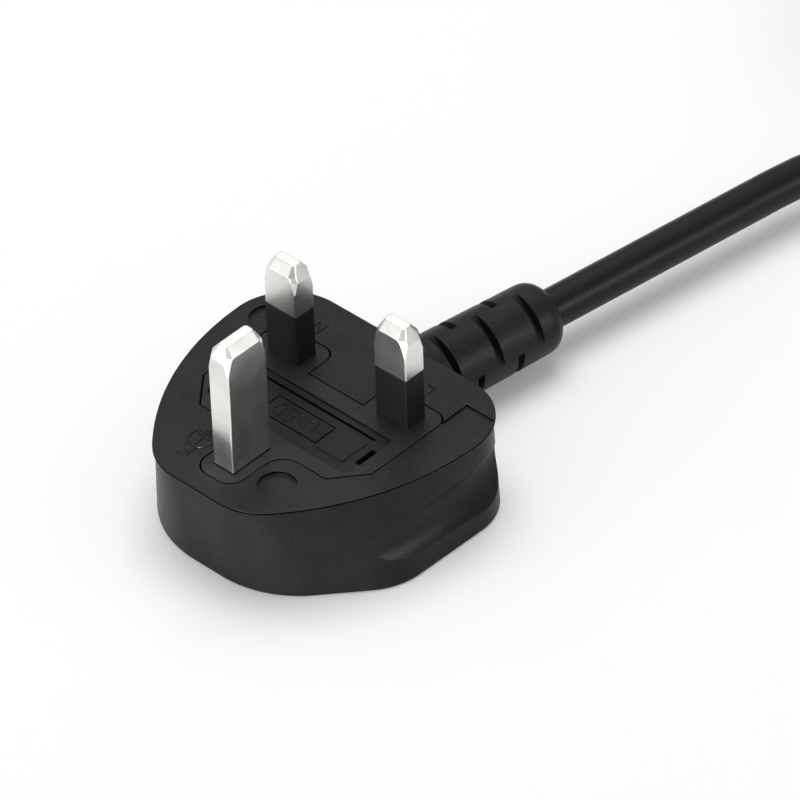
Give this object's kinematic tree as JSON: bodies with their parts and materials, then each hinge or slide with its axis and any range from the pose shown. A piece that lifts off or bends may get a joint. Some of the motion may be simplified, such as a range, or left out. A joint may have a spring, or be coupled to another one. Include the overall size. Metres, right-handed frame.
{
  "type": "uk three pin plug with lead",
  "caption": "Moulded-on mains plug with flat rectangular pins, sleeved live pins, a pull-out fuse carrier, a slotted strain relief and its lead, lying on its back.",
  "frame": {"origin": "on the back face that the plug lies on, under the earth pin's axis", "axes": "+Z out of the pin face along the pins, +Y from the earth pin towards the cord, +X towards the line pin"},
  "size_m": [0.0603, 0.2624, 0.0393],
  "materials": {
    "moulding": "finely grained soft moulding",
    "bridge": "finely grained hard moulding",
    "carrier": "finely grained hard moulding",
    "pin_metal": "satin nickel plate on brass",
    "sleeve": "smooth moulded sleeve",
    "ceramic": "glazed ceramic tube",
    "cap_metal": "plated cap",
    "clip_metal": "sprung brass strip",
    "copper": "bare copper",
    "line_insulation": "smooth brown insulation",
    "neutral_insulation": "smooth blue insulation",
    "earth_insulation": "green insulation with a yellow stripe",
    "sheath": "smooth satin cord sheath",
    "tie": "woven hook and loop band"
  },
  "bodies": {
    "plug": {"outer_moulding": "moulding", "pin_bridge": "bridge", "earth_pin": "pin_metal", "line_pin": "pin_metal", "neutral_pin": "pin_metal", "line_pin_sleeve": "sleeve", "neutral_pin_sleeve": "sleeve", "fuse_clip_line": "clip_metal", "fuse_clip_load": "clip_metal", "line_core": "line_insulation", "line_conductor": "copper", "neutral_core": "neutral_insulation", "neutral_conductor": "copper", "earth_core": "earth_insulation", "earth_conductor": "copper", "cord_sheath_end": "sheath", "cord_run": "sheath", "cord_hank": "sheath", "hank_ties": "tie", "cord_tail": "sheath", "tail_line_core": "line_insulation", "tail_neutral_core": "neutral_insulation", "tail_earth_core": "earth_insulation", "tail_conductors": "copper"},
    "fuse_holder": {"fuse_carrier": "carrier", "fuse_tube": "ceramic", "fuse_cap_line": "cap_metal", "fuse_cap_load": "cap_metal", "fuse_element": "copper"}
  },
  "joints": [
    {"name": "fuse_carrier_pull", "type": "slide", "parent": "plug", "child": "fuse_holder", "axis": [0, 0, 1], "range_m": [0, 0.012]}
  ]
}
